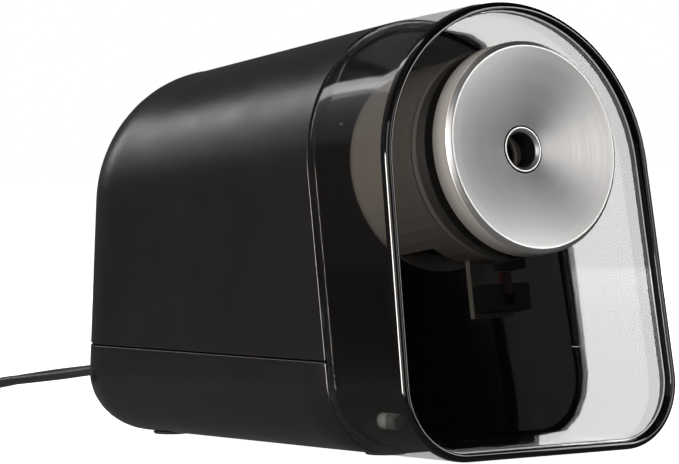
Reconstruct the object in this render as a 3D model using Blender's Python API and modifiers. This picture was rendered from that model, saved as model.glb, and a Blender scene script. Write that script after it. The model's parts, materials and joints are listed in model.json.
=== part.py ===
"""Electric pencil sharpener with a see-through shavings bin, modelled as it comes apart on a bench.

The desk is the plane z = 0, +Z is up, the front face looks along -Y and X is the width. Lengths in this
file are in millimetres and become metres when a mesh is made.
"""

import math

import bmesh
import bpy
from mathutils import Matrix, Vector
from mathutils.geometry import convex_hull_2d

MM = 0.001
TAU = 2 * math.pi
GAP = 0.3  # clearance between pieces that touch

# Body: an arch-topped section, swept from front to rear
FOOT_STAND = 1.0  # the feet hold the body this far off the desk
ARCH_R = 39.8
ARCH_Z = 67.8
HALF_BASE = 41.5
CORNER_R = 17.3
BODY_L = 167.3
REAR_ROUND = 26.4
REAR_TAPER = 0.165  # share of its width that the body has lost at the rear
REAR_DROP = 0.119  # share of its height
FACE_LEAN = math.radians(8.0)  # the front face and the mechanism lean back together
SEAM_Y = 31.6
SEAM_LEAN = math.radians(9.6)
REAR_LEAN = math.radians(-2.7)
TRAY_SEAM_Z = 22.8
WALL = 2.4
BIN_WALL = 2.0

ARCH_STEPS, CORNER_STEPS, REAR_STEPS = 9, 4, 5  # facets of the round stretches

# Pencil axis: it meets the face plane at AXIS_Z and runs back and down, square to the face
AXIS_Z = 72.2
PENCIL_R = 4.12  # the guide's bore

# Knob, in distances behind the face plane (negative is in front)
KNOB_R = 25.5
KNOB_FRONT = -5.5
KNOB_BEVEL = 1.1
DISH_DEPTH = 4.4
PLATE_FRONT = 2.3
PLATE_BACK = 4.3

# Cutter head: the ring gear's middle is at RING_S on the axis, and the rest follows from it
RING_S = 15.5
PENCIL_TIP_S = RING_S + 27.0
CONE_HALF = math.radians(11.0)
CUTTER_R = 6.3
RING_TEETH, CUTTER_TEETH = 36, 12
APEX_S = PENCIL_TIP_S + CUTTER_R / math.sin(CONE_HALF)
CUTTER_CONE = math.atan(math.sin(CONE_HALF) / (RING_TEETH / CUTTER_TEETH - math.cos(CONE_HALF)))
RING_PITCH_R = (APEX_S - RING_S) * math.tan(CONE_HALF + CUTTER_CONE)
CUTTER_APEX = (APEX_S - RING_S) / math.cos(CONE_HALF + CUTTER_CONE) * math.cos(CUTTER_CONE)
CUTTER_PITCH_R = CUTTER_APEX * math.tan(CUTTER_CONE)
CUTTER_START, CUTTER_END = 8.0, 34.0  # along the cutter's own axis from its pinion
CUTTER_TURN = math.radians(-115)  # where the cutter stands around the pencil axis
CARRIER_R = 19.6
CARRIER_S = RING_S + 2.7, RING_S + 40.5
SHROUD_R = 25.0
SHROUD_WALL = 2.0
SHROUD_S = 9.9
CAP_S = 7.9, 9.6
POT_R = 23.0
POT_END = RING_S + 44.0

# Gear train behind the pot, module and teeth
OUTPUT_TEETH, IDLER_SMALL, OUTPUT_MODULE = 40, 12, 0.9
IDLER_TEETH, MOTOR_TEETH, MOTOR_MODULE = 34, 10, 0.8
IDLER_REACH = OUTPUT_MODULE * (OUTPUT_TEETH + IDLER_SMALL) / 2
MOTOR_REACH = MOTOR_MODULE * (IDLER_TEETH + MOTOR_TEETH) / 2
MOTOR_DROP = 16.0  # the motor's shaft is this far below the spindle
OUTPUT_S = POT_END + 1.7, POT_END + 7.7
IDLER_S = POT_END + 8.7, POT_END + 12.7
PLATE_S = POT_END + 15.7, POT_END + 17.7
SPINDLE_R = 4.0
MOTOR_R = 18.0
MOTOR_LENGTH = 50.0
POST_R = 2.5
POST_RING = 28.2
POST_TURNS = tuple(math.radians(a) for a in (-100, 150, -20))

# Start slider, in the space between the face plate and the shroud's cap
SLIDER_S = 5.7, 7.5
SWITCH_DROP = 30.2

# Mains cord
CORD_R = 2.7
CORD_ROUTE = (
    (0, 190.4, 14.6), (0, 197, 13.9), (0, 203.8, 13.2), (0, 212, 12.3), (0, 220.5, 11.4), (0, 229, 10.5),
    (0, 237, 9.7), (0, 246, 8.8), (0, 254, 7.9), (0, 261, 6.5), (0, 267.9, 5.0),
)
COIL_CENTRE = (-39.1, 290.0)
COIL_MEAN_R = 33.7
COIL_COLUMNS, COIL_LAYERS = 3, 2
TAIL_START, TAIL_END = 22.5, 33.5  # along the line that leaves the coil at its right
PLUG_Z = 8.1

# The origin is under the middle of the body, from the lip's foot in front to the flat at the rear
LIP = ((0.0, 1.3), (0.35, 0.5), (1.3, 0.0))  # the bin's rounded front edge: depth and inset
BODY_MIDDLE_Y = (LIP[0][1] * math.tan(FACE_LEAN) + BODY_L + REAR_ROUND * math.tan(REAR_LEAN)) / 2

FACE_POINT = Vector((0, AXIS_Z * math.tan(FACE_LEAN), AXIS_Z + FOOT_STAND))
MECHANISM = Matrix.Translation(FACE_POINT) @ Matrix.Rotation(-(math.pi / 2 + FACE_LEAN), 4, "X")


def metres(matrix):
    """The same placement in metres, measured from the origin under the body's middle."""
    placed = matrix.copy()
    placed.translation = (matrix.translation - Vector((0, BODY_MIDDLE_Y, 0))) * MM
    return placed


def along(s, x=0.0, drop=0.0):
    """A frame on the mechanism: s behind the face plane, x to the right, drop below the axis."""
    return MECHANISM @ Matrix.Translation((x, drop, s))


# --- scene and materials ---

def empty_scene():
    for obj in list(bpy.data.objects):
        bpy.data.objects.remove(obj, do_unlink=True)
    for name in ("pencil_sharpener", "cutters"):
        collection = bpy.data.collections.new(name)
        bpy.context.scene.collection.children.link(collection)


def material(name, colour, roughness, metallic=0.0, alpha=1.0):
    made = bpy.data.materials.get(name)
    if made:
        return made
    made = bpy.data.materials.new(name)
    made.use_nodes = True
    shader = made.node_tree.nodes["Principled BSDF"]
    shader.inputs["Base Color"].default_value = (*colour, 1)
    shader.inputs["Roughness"].default_value = roughness
    shader.inputs["Metallic"].default_value = metallic
    shader.inputs["Alpha"].default_value = alpha
    return made


def black_shell():
    return material("black_shell", (0.022, 0.02, 0.024), 0.42)


def smoke_plastic():
    return material("smoke_plastic", (0.02, 0.016, 0.016), 0.06, alpha=0.55)


def gloss_black():
    return material("gloss_black", (0.004, 0.004, 0.004), 0.03)


def black_moulding():
    return material("black_moulding", (0.02, 0.02, 0.02), 0.5)


def grey_moulding():
    return material("grey_moulding", (0.30, 0.27, 0.24), 0.45)


def white_nylon():
    return material("white_nylon", (0.78, 0.77, 0.72), 0.45)


def satin_aluminium():
    return material("satin_aluminium", (0.62, 0.61, 0.61), 0.32, 1.0)


def tool_steel():
    return material("tool_steel", (0.42, 0.41, 0.40), 0.3, 1.0)


def zinc_steel():
    return material("zinc_steel", (0.6, 0.6, 0.58), 0.35, 1.0)


def bronze():
    return material("bronze", (0.55, 0.36, 0.17), 0.4, 1.0)


def copper():
    return material("copper", (0.7, 0.33, 0.18), 0.35, 1.0)


def nickel():
    return material("nickel", (0.72, 0.70, 0.66), 0.22, 1.0)


def rubber():
    return material("rubber", (0.018, 0.018, 0.018), 0.8)


def cord_vinyl():
    return material("cord_vinyl", (0.015, 0.015, 0.016), 0.45)


def circuit_board():
    return material("circuit_board", (0.04, 0.17, 0.07), 0.5)


def red_wire():
    return material("red_wire", (0.5, 0.02, 0.015), 0.4)


# --- making objects ---

def add_object(name, mesh, finish, placement=None, smooth_angle=40):
    obj = bpy.data.objects.new(name, mesh)
    bpy.data.collections["pencil_sharpener"].objects.link(obj)
    obj.matrix_world = metres(placement or Matrix.Identity(4))
    mesh.materials.append(finish)
    mesh.shade_smooth()
    mesh.set_sharp_from_angle(angle=math.radians(smooth_angle))
    return obj


def mesh_of(name, shape):
    """The finished mesh of a bmesh drawn in millimetres, with its faces turned outwards."""
    bmesh.ops.scale(shape, vec=(MM, MM, MM), verts=shape.verts)
    bmesh.ops.recalc_face_normals(shape, faces=shape.faces)
    mesh = bpy.data.meshes.new(name)
    shape.to_mesh(mesh)
    shape.free()
    return mesh


def as_cutter(obj):
    bpy.data.collections["pencil_sharpener"].objects.unlink(obj)
    bpy.data.collections["cutters"].objects.link(obj)
    obj.hide_render = True
    obj.display_type = "WIRE"
    return obj


def combine(obj, other, operation="DIFFERENCE"):
    """Cuts, joins or keeps the shared part of two solids; the other one becomes a cutter."""
    boolean = obj.modifiers.new(other.name, "BOOLEAN")
    boolean.operation = operation
    boolean.solver = "EXACT"
    boolean.object = as_cutter(other)
    return obj


def box(name, size, centre, finish, placement=None, bevel=0.0):
    shape = bmesh.new()
    bmesh.ops.create_cube(shape, size=1)
    bmesh.ops.scale(shape, vec=size, verts=shape.verts)
    bmesh.ops.translate(shape, vec=centre, verts=shape.verts)
    obj = add_object(name, mesh_of(name, shape), finish, placement)
    if bevel:
        rounding = obj.modifiers.new("edges", "BEVEL")
        rounding.width = bevel * MM
        rounding.segments = 2
        rounding.limit_method = "ANGLE"
    return obj


def rod(name, radius, start, end, finish, placement=None, sides=24):
    """A round bar along its own Z axis."""
    shape = bmesh.new()
    lift = Matrix.Translation((0, 0, (start + end) / 2))
    bmesh.ops.create_cone(shape, cap_ends=True, segments=sides, radius1=radius, radius2=radius,
                          depth=end - start, matrix=lift)
    return add_object(name, mesh_of(name, shape), finish, placement)


def turned(name, profile, finish, placement=None, steps=48):
    """A profile of (radius, z) turned about Z. It is closed by itself or by the axis."""
    signed = sum(r1 * z2 - r2 * z1 for (r1, z1), (r2, z2) in zip(profile, profile[1:] + profile[:1]))
    points = list(profile) if signed < 0 else list(reversed(profile))
    on_axis = min(r for r, _ in points) == 0
    while on_axis and not (points[0][0] == 0 and points[-1][0] == 0):
        points.append(points.pop(0))
    shape = bmesh.new()
    corners = [shape.verts.new((r, 0, z)) for r, z in points]
    pairs = list(zip(corners, corners[1:])) + ([] if on_axis else [(corners[-1], corners[0])])
    for pair in pairs:
        shape.edges.new(pair)
    obj = add_object(name, mesh_of(name, shape), finish, placement)
    spin = obj.modifiers.new("turn", "SCREW")
    spin.angle = TAU
    spin.steps = spin.render_steps = steps
    spin.use_merge_vertices = True
    spin.merge_threshold = 1e-6
    spin.use_smooth_shade = True
    return obj


def loft(name, rings, finish, placement=None, capped=True):
    """Faces between rings of equally many points; capped, it is a solid."""
    shape = bmesh.new()
    rows = [[shape.verts.new(p) for p in ring] for ring in rings]
    count = len(rows[0])
    for near, far in zip(rows, rows[1:]):
        for i in range(count):
            j = (i + 1) % count
            shape.faces.new((near[i], near[j], far[j], far[i]))
    if capped:
        shape.faces.new(rows[0])
        shape.faces.new(rows[-1])
    return add_object(name, mesh_of(name, shape), finish, placement)


def thicken(obj, wall):
    """Gives an open skin its wall, on the inside."""
    shell = obj.modifiers.new("wall", "SOLIDIFY")
    shell.thickness = wall * MM
    shell.offset = -1
    shell.use_even_offset = True
    return obj


def tube(name, points, radius, finish):
    """A round cord along a smooth route, with flat ends."""
    curve = bpy.data.curves.new(name, "CURVE")
    curve.dimensions = "3D"
    curve.bevel_depth = radius * MM
    curve.bevel_resolution = 2
    curve.resolution_u = 1
    curve.render_resolution_u = 0
    curve.use_fill_caps = True
    line = curve.splines.new("POLY")
    line.points.add(len(points) - 1)
    for target, point in zip(line.points, points):
        target.co = (*(Vector(point) * MM), 1)
    curve.materials.append(finish)
    obj = bpy.data.objects.new(name, curve)
    bpy.data.collections["pencil_sharpener"].objects.link(obj)
    obj.matrix_world = metres(Matrix.Identity(4))
    return obj


# --- the body's section ---

def section(y_at_base, lean, share, inset=0.0):
    """One ring of the body's arch: share runs from 0 at the front to 1 at the rear."""
    arch, corner = ARCH_R - inset, max(CORNER_R - inset, 1.5)
    corner_x, corner_z = HALF_BASE - inset - corner, inset + corner
    run = Vector((corner_x, corner_z - ARCH_Z))
    slope = math.asin((arch - corner) / run.length)
    tangent = math.atan2(run.y, run.x) + math.pi / 2 - slope
    right = []
    for i in range(ARCH_STEPS + 1):
        a = math.pi / 2 + (tangent - math.pi / 2) * i / ARCH_STEPS
        right.append((arch * math.cos(a), ARCH_Z + arch * math.sin(a)))
    for i in range(CORNER_STEPS + 1):
        a = tangent + (-math.pi / 2 - tangent) * i / CORNER_STEPS
        right.append((corner_x + corner * math.cos(a), corner_z + corner * math.sin(a)))
    ring = right + [(-x, z) for x, z in reversed(right)][:-1]
    wide, tall = 1 - REAR_TAPER * share, 1 - REAR_DROP * share
    return [(x * wide, y_at_base + z * math.tan(lean), z * tall + FOOT_STAND) for x, z in ring]


def body_rings(y_start, inset=0.0):
    """The housing's skin from the seam to the small flat at the rear."""
    straight = BODY_L - REAR_ROUND
    rings = []
    for part in (0, 0.5, 1):
        y = y_start + (straight - y_start) * part
        lean = SEAM_LEAN + (REAR_LEAN - SEAM_LEAN) * part
        rings.append(section(y, lean, y / straight, inset))
    for step in range(1, REAR_STEPS + 1):
        a = math.pi / 2 * step / REAR_STEPS
        pulled = REAR_ROUND * (1 - math.cos(a))
        rings.append(section(straight + REAR_ROUND * math.sin(a), REAR_LEAN, 1, inset + pulled))
    return rings


def skin(name, finish):
    """The open skin of the housing and tray, closed at the rear only."""
    obj = loft(name, body_rings(SEAM_Y), finish, capped=False)
    shape = bmesh.new()
    shape.from_mesh(obj.data)
    shape.verts.ensure_lookup_table()
    count = len(section(0, 0, 0))
    shape.faces.new(shape.verts[-count:])
    bmesh.ops.recalc_face_normals(shape, faces=shape.faces)
    shape.to_mesh(obj.data)
    shape.free()
    return thicken(obj, WALL)


# --- gears ---

def involute(angle):
    return math.tan(angle) - angle


def gear_ring(teeth, module, phase, outer, inner, backlash, pressure=math.radians(25)):
    """Outline of a spur gear about the origin: outer and inner are its tip and root radii."""
    pitch = teeth * module / 2
    base = pitch * math.cos(pressure)
    half_pitch = math.pi / (2 * teeth) - backlash / (2 * pitch) + involute(pressure)

    def half_width(radius):
        if radius <= base:
            return half_pitch
        return half_pitch - involute(math.acos(base / radius))

    radii = [inner, pitch, outer]
    points = []
    for tooth in range(teeth):
        centre = phase + TAU * tooth / teeth
        flank = [(r, half_width(r)) for r in radii]
        for r, w in flank:
            points.append((r, centre - w))
        for r, w in reversed(flank):
            points.append((r, centre + w))
    return [Vector((r * math.cos(a), r * math.sin(a))) for r, a in points]


def gear_solid(name, outline, start, end, finish, placement=None, apex=None):
    """A gear blank between two planes; with an apex its teeth shrink towards that height on the axis."""
    rings = []
    for z in (start, end):
        size = 1 if apex is None else (apex - z) / apex
        rings.append([(p.x * size, p.y * size, z) for p in outline])
    return loft(name, rings, finish, placement)


def spur(name, teeth, module, phase, start, end, finish, placement, backlash=0.14, tip=0.9):
    pitch = teeth * module / 2
    outline = gear_ring(teeth, module, phase, pitch + tip * module, pitch - 1.2 * module, backlash)
    return gear_solid(name, outline, start, end, finish, placement)


# --- bin: everything that slides off together ---

def bin_shell():
    last = SEAM_Y - GAP
    share = SEAM_Y / (BODY_L - REAR_ROUND)
    rings = [section(y, FACE_LEAN, 0, inset) for y, inset in LIP]
    rings.append(section(last, SEAM_LEAN, share))
    shell = thicken(loft("bin_shell", rings, smoke_plastic(), capped=False), BIN_WALL)
    tab = box("interlock_tab", (9, 4, 9), (-24, SEAM_Y - 6, FOOT_STAND + 5.5), smoke_plastic())
    return combine(shell, tab, "UNION")


def face_plate():
    inset = BIN_WALL + GAP
    rings = [section(s, FACE_LEAN, 0, inset) for s in (PLATE_FRONT, PLATE_BACK)]
    plate = loft("face_plate", rings, gloss_black())
    return combine(plate, rod("face_plate_hole", 7.6, -5, 20, gloss_black(), along(0), 32))


def knob_core():
    """The black core behind the knob's cover, seen as a dark groove."""
    front, back = KNOB_FRONT + DISH_DEPTH + 2.2, PLATE_FRONT - GAP
    profile = [(7.0, front), (KNOB_R - 1.6, front), (KNOB_R - 1.6, back), (7.0, back)]
    return turned("knob_core", profile, black_moulding(), along(0), 48)


def knob_cover():
    """The spun aluminium cover: a rim, a bright bevel and a shallow cone down to the pencil guide."""
    back, sheet = PLATE_FRONT - 1.5, 0.9
    face_r = KNOB_R - KNOB_BEVEL
    guide_r = PENCIL_R + 1.6
    bottom = KNOB_FRONT + DISH_DEPTH
    profile = [
        (KNOB_R, back), (KNOB_R, KNOB_FRONT + KNOB_BEVEL), (face_r, KNOB_FRONT), (face_r - 0.7, KNOB_FRONT + 0.15),
        (guide_r, bottom), (guide_r, bottom + sheet), (face_r - 0.9, KNOB_FRONT + 0.15 + sheet * 1.4),
        (KNOB_R - sheet, KNOB_FRONT + 2.2), (KNOB_R - sheet, back),
    ]
    return turned("knob_cover", profile, satin_aluminium(), along(0), 48)


def pencil_guide():
    """The bushing that centres the pencil, with a chamfered mouth."""
    mouth = KNOB_FRONT + DISH_DEPTH - 0.1
    end = PLATE_BACK + 0.9
    outer = PENCIL_R + 1.6 - GAP
    profile = [(outer, end), (outer, mouth), (PENCIL_R + 0.9, mouth), (PENCIL_R, mouth + 0.9), (PENCIL_R, end)]
    return turned("pencil_guide", profile, satin_aluminium(), along(0), 32)


# --- chassis ---

def main_housing():
    shell = skin("main_housing", black_shell())
    low = box("below_housing", (200, 400, 60), (0, 100, FOOT_STAND + TRAY_SEAM_Z + GAP / 2 - 30), black_shell())
    return combine(shell, low)


def base_tray():
    shell = skin("base_tray", black_shell())
    high = box("above_tray", (200, 400, 200), (0, 100, FOOT_STAND + TRAY_SEAM_Z - GAP / 2 + 100), black_shell())
    combine(shell, high)
    combine(shell, rod("cord_hole", 5.2, 158, 176, black_shell(), cord_exit_frame(), 20))
    for i, (x, y) in enumerate(tray_screw_places()):
        boss = rod(f"tray_boss_{i + 1}", 4.0, FOOT_STAND + 1.2, FOOT_STAND + 14, black_shell(), place(x, y), 16)
        combine(shell, boss, "UNION")
        combine(shell, rod(f"tray_bore_{i + 1}", 1.7, -5, 30, black_shell(), place(x, y), 16))
        combine(shell, rod(f"tray_sink_{i + 1}", 3.3, -5, FOOT_STAND + 2.6, black_shell(), place(x, y), 16))
    return shell


def place(x, y, z=0.0):
    return Matrix.Translation((x, y, z))


def tray_screw_places():
    return [(x, y) for x in (-22, 22) for y in (70, 128)]


def foot_places():
    return [(x, y) for x in (-16, 16) for y in (44, 138)]


def bulkhead():
    """The wall at the housing's mouth that the bin closes on."""
    inset = WALL + 2 * GAP
    share = SEAM_Y / (BODY_L - REAR_ROUND)
    rings = [section(SEAM_Y + y, SEAM_LEAN, share, inset) for y in (0.8, 3.2)]
    wall = loft("bulkhead", rings, gloss_black())
    combine(wall, rod("bulkhead_hole", SHROUD_R + GAP, 0, 70, gloss_black(), along(0), 48))
    for i, (x, drop) in enumerate(shroud_screw_places()):
        combine(wall, rod(f"bulkhead_bore_{i + 1}", 1.3, 20, 60, gloss_black(), along(0, x, drop), 12))
    plunger = rod("plunger_hole", 2.3, 0, 60, gloss_black(), interlock_frame(), 16)
    return combine(wall, plunger)


def shroud_screw_places():
    return [(28.4 * math.cos(a), 28.4 * math.sin(a)) for a in (math.radians(d) for d in (65, 205, 300))]


def cutter_shroud():
    """The drum round the cutter head, with its flange behind the bulkhead and its pot in the housing."""
    flange = 38.2, 40.4
    inner = SHROUD_R - SHROUD_WALL
    profile = [
        (5.3, POT_END), (POT_R, POT_END), (POT_R, flange[1]), (32, flange[1]), (32, flange[0]),
        (SHROUD_R, flange[0]), (SHROUD_R, SHROUD_S), (inner, SHROUD_S), (inner, 32), (POT_R - 2, 33),
        (POT_R - 2, POT_END - 2.2), (5.3, POT_END - 2.2),
    ]
    shroud = turned("cutter_shroud", profile, grey_moulding(), along(0), 44)
    window = box("shroud_window", (28, 20, 13.5), (0, 24, 26.2), grey_moulding(), MECHANISM)
    combine(shroud, window)
    shelf = box("switch_shelf", (12, 14.5, 1.6), (0, 31, 17.0), grey_moulding(), MECHANISM)
    combine(shroud, shelf, "UNION")
    for i, (x, drop) in enumerate(shroud_screw_places()):
        combine(shroud, rod(f"flange_bore_{i + 1}", 1.7, 30, 50, grey_moulding(), along(0, x, drop), 12))
    for i, a in enumerate(POST_TURNS):
        at = along(0, POST_RING * math.cos(a), POST_RING * math.sin(a))
        combine(shroud, rod(f"flange_post_bore_{i + 1}", 1.5, 36, 45, grey_moulding(), at, 12))
    return shroud


def shroud_screw(index, x, drop):
    head, tip = 42.4, 35.2
    profile = [(0, head), (2.7, head), (2.9, head - 0.8), (2.9, 40.7), (1.1, 40.7), (1.1, tip), (0, tip)]
    return turned(f"shroud_screw_{index}", profile, zinc_steel(), along(0, x, drop), 12)


def shroud_cap():
    profile = [(PENCIL_R + 1.1, CAP_S[0]), (SHROUD_R, CAP_S[0]), (SHROUD_R, CAP_S[1]), (PENCIL_R + 1.1, CAP_S[1])]
    return turned("shroud_cap", profile, grey_moulding(), along(0), 44)


def cutter_frame():
    """Origin at the cutter pinion's middle, Z along the cutter, X away from the pencil axis."""
    out = Vector((math.cos(CUTTER_TURN), math.sin(CUTTER_TURN), 0))
    inwards = Vector((0, 0, 1))
    z = inwards * math.cos(CONE_HALF) - out * math.sin(CONE_HALF)
    x = out * math.cos(CONE_HALF) + inwards * math.sin(CONE_HALF)
    y = z.cross(x)
    frame = Matrix((x, y, z)).transposed().to_4x4()
    frame.translation = Vector((0, 0, APEX_S)) - z * CUTTER_APEX
    return MECHANISM @ frame


def ring_gear():
    module = 2 * RING_PITCH_R / RING_TEETH
    hole = gear_ring(RING_TEETH, module, CUTTER_TURN, RING_PITCH_R + 1.25 * module,
                     RING_PITCH_R - 0.85 * module, -0.16)
    apex = APEX_S - RING_S
    half = 2.0
    outer = SHROUD_R - SHROUD_WALL - GAP
    blank = turned("ring_gear", [(12, -half), (outer, -half), (outer, half), (12, half)], bronze(), along(RING_S), 48)
    teeth = gear_solid("ring_gear_teeth", hole, -half - 1, half + 1, bronze(), along(RING_S), apex)
    return combine(blank, teeth)


def cutter_pinion():
    module = 2 * CUTTER_PITCH_R / CUTTER_TEETH
    outline = gear_ring(CUTTER_TEETH, module, 0, CUTTER_PITCH_R + 0.85 * module,
                        CUTTER_PITCH_R - 1.25 * module, 0.16)
    pinion = gear_solid("cutter_pinion", outline, -1.6, 1.6, tool_steel(), cutter_frame(), CUTTER_APEX)
    combine(pinion, rod("pinion_neck", 3.0, 1.2, CUTTER_START - GAP, tool_steel(), cutter_frame(), 20), "UNION")
    return combine(pinion, rod("pinion_bore", 1.65, -5, 20, tool_steel(), cutter_frame(), 16))


def helical_cutter():
    """Twelve helical edges milled on a bar that turns on the cutter axle."""
    flutes, stations, twist = 12, 9, math.radians(75)
    rings = []
    for i in range(stations):
        part = i / (stations - 1)
        z = CUTTER_START + (CUTTER_END - CUTTER_START) * part
        ring = []
        for k in range(flutes):
            for r, ahead in ((CUTTER_R, 0.0), (CUTTER_R - 0.95, 0.16), (CUTTER_R - 0.25, 0.86)):
                a = TAU * (k + ahead) / flutes + twist * part
                ring.append((r * math.cos(a), r * math.sin(a), z))
        rings.append(ring)
    cutter = loft("helical_cutter", rings, tool_steel(), cutter_frame())
    return combine(cutter, rod("cutter_bore", 1.65, 0, 50, tool_steel(), cutter_frame(), 16))


def cutter_axle():
    profile = [(0, 36.2), (1.5, 36.2), (1.5, -1.9), (2.4, -1.9), (2.4, -2.5), (0, -2.5)]
    return turned("cutter_axle", profile, nickel(), cutter_frame(), 16)


def cutter_carrier():
    """The planet cage: it holds the cutter against the pencil's cone and turns with the spindle."""
    start, end = CARRIER_S
    body = rod("cutter_carrier", CARRIER_R, start, end, zinc_steel(), along(0), 48)
    cone = [(0, PENCIL_TIP_S + 2), (0.6, PENCIL_TIP_S + 2), (4.9, start + 3), (4.9, start - 2), (0, start - 2)]
    combine(body, turned("pencil_bore", cone, zinc_steel(), along(0), 24))
    pocket_start, pocket_end = CUTTER_START - 0.5, CUTTER_END + 0.5
    middle, length = (pocket_start + pocket_end) / 2, pocket_end - pocket_start
    combine(body, rod("cutter_pocket", CUTTER_R + 0.6, pocket_start, pocket_end, zinc_steel(), cutter_frame(), 32))
    mouth = box("pocket_mouth", (16, 2 * CUTTER_R, length), (8, 0, middle), zinc_steel(), cutter_frame())
    combine(body, mouth)
    combine(body, rod("neck_bore", 3.4, -5, CUTTER_START, zinc_steel(), cutter_frame(), 20))
    combine(body, rod("axle_bore", 1.65, 20, 36.5, zinc_steel(), cutter_frame(), 16))
    combine(body, rod("spindle_bore", SPINDLE_R + 0.15, end - 4.3, end + 5, zinc_steel(), along(0), 24))
    return body


def carrier_spindle():
    start, end = CARRIER_S[1] - 4.0, PLATE_S[1] - 0.1
    profile = [(0, end), (SPINDLE_R - 0.5, end), (SPINDLE_R, end - 0.5), (SPINDLE_R, start), (0, start)]
    return turned("carrier_spindle", profile, nickel(), along(0), 24)


def spindle_bush(name, start, end, outer):
    profile = [(SPINDLE_R + 0.1, start), (outer, start), (outer, end), (SPINDLE_R + 0.1, end)]
    return turned(name, profile, bronze(), along(0), 24)


def idler_place():
    """The idler's centre: the third corner of the triangle spindle, idler, motor."""
    a = math.acos((IDLER_REACH**2 + MOTOR_DROP**2 - MOTOR_REACH**2) / (2 * IDLER_REACH * MOTOR_DROP))
    return IDLER_REACH * math.sin(a), IDLER_REACH * math.cos(a)


def output_gear():
    x, drop = idler_place()
    gear = spur("output_gear", OUTPUT_TEETH, OUTPUT_MODULE, math.atan2(drop, x), *OUTPUT_S, white_nylon(), along(0))
    return combine(gear, rod("output_bore", SPINDLE_R + 0.15, 40, 90, white_nylon(), along(0), 24))


def idler_gear():
    x, drop = idler_place()
    here = along(0, x, drop)
    to_spindle = math.atan2(-drop, -x)
    to_motor = math.atan2(MOTOR_DROP - drop, -x)
    gear = spur("idler_gear", IDLER_TEETH, MOTOR_MODULE, to_motor, *IDLER_S, white_nylon(), here)
    small = spur("idler_small", IDLER_SMALL, OUTPUT_MODULE, to_spindle + math.pi / IDLER_SMALL,
                 OUTPUT_S[0] - 0.2, IDLER_S[0] + 1, white_nylon(), here)
    combine(gear, small, "UNION")
    return combine(gear, rod("idler_bore", 1.65, 40, 90, white_nylon(), here, 16))


def idler_shaft():
    x, drop = idler_place()
    return rod("idler_shaft", 1.5, OUTPUT_S[0] - 0.9, PLATE_S[1], nickel(), along(0, x, drop), 16)


def motor_pinion():
    x, drop = idler_place()
    here = along(0, 0, MOTOR_DROP)
    to_idler = math.atan2(drop - MOTOR_DROP, x)
    pinion = spur("motor_pinion", MOTOR_TEETH, MOTOR_MODULE, to_idler + math.pi / MOTOR_TEETH,
                  IDLER_S[0] - 0.4, IDLER_S[1] + 0.6, bronze(), here)
    return combine(pinion, rod("motor_pinion_bore", 1.65, 40, 90, bronze(), here, 12))


def hull(name, circles, start, end, finish):
    """A flat plate whose outline wraps round circles given as x, drop and radius."""
    rim = []
    for x, drop, radius in circles:
        rim += [(x + radius * math.cos(TAU * i / 20), drop + radius * math.sin(TAU * i / 20)) for i in range(20)]
    outline = [rim[i] for i in convex_hull_2d(rim)]
    rings = [[(x, drop, s) for x, drop in outline] for s in (start, end)]
    return loft(name, rings, finish, MECHANISM)


def post_places():
    return [(POST_RING * math.cos(a), POST_RING * math.sin(a)) for a in POST_TURNS]


def motor_plate():
    """The steel plate that carries the motor and the rear ends of the spindle and the idler shaft."""
    x, drop = idler_place()
    circles = [(px, pd, 4.5) for px, pd in post_places()] + [(x, drop, 5), (0, MOTOR_DROP, MOTOR_R - 1)]
    plate = hull("motor_plate", circles, *PLATE_S, zinc_steel())
    combine(plate, rod("plate_spindle_hole", 6.3, 60, 90, zinc_steel(), along(0), 24))
    combine(plate, rod("plate_idler_hole", 1.65, 60, 90, zinc_steel(), along(0, x, drop), 16))
    combine(plate, rod("plate_motor_hole", 4.2, 60, 90, zinc_steel(), along(0, 0, MOTOR_DROP), 20))
    for i, (px, pd) in enumerate(post_places()):
        combine(plate, rod(f"plate_post_hole_{i + 1}", 1.7, 60, 90, zinc_steel(), along(0, px, pd), 12))
    for i, mx in enumerate(motor_screw_places()):
        combine(plate, rod(f"plate_motor_bore_{i + 1}", 1.7, 60, 90, zinc_steel(), along(0, mx, MOTOR_DROP), 12))
    return plate


def plate_post(index, x, drop):
    """A spacer from the shroud's flange to the motor plate, with a threaded spigot at each end."""
    start, end = 40.4 + GAP, PLATE_S[0] - GAP
    profile = [
        (0, end + 3.2), (1.3, end + 3.2), (1.3, end), (POST_R, end), (POST_R, start), (1.2, start), (1.2, 38.4),
        (0, 38.4),
    ]
    return turned(f"plate_post_{index}", profile, zinc_steel(), along(0, x, drop), 12)


def motor_screw_places():
    return (-12.5, 12.5)


def motor_screw(index, x):
    head = PLATE_S[0] - GAP
    profile = [(0, head + 4.6), (1.3, head + 4.6), (1.3, head), (2.5, head), (2.5, head - 1.3), (0, head - 1.3)]
    return turned(f"motor_screw_{index}", profile, zinc_steel(), along(0, x, MOTOR_DROP), 12)


def motor_can():
    start = PLATE_S[1] + GAP
    end = start + MOTOR_LENGTH
    profile = [
        (2.6, start + 2), (2.6, start), (MOTOR_R - 1.5, start), (MOTOR_R, start + 1.5), (MOTOR_R, end),
        (MOTOR_R - 1.4, end), (MOTOR_R - 1.4, start + 2),
    ]
    can = turned("motor_can", profile, zinc_steel(), along(0, 0, MOTOR_DROP), 28)
    for i, x in enumerate(motor_screw_places()):
        tapped = rod(f"can_bore_{i + 1}", 1.6, start - 2, start + 4, zinc_steel(), along(0, x, MOTOR_DROP), 12)
        combine(can, tapped)
    return can


def motor_end_bell():
    start = PLATE_S[1] + GAP + MOTOR_LENGTH - 3
    outer = MOTOR_R - 1.4 - GAP
    profile = [
        (2.6, start + 7.5), (5.5, start + 7.5), (5.5, start + 5), (outer, start + 5), (outer, start), (2.6, start),
    ]
    return turned("motor_end_bell", profile, black_moulding(), along(0, 0, MOTOR_DROP), 24)


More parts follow.
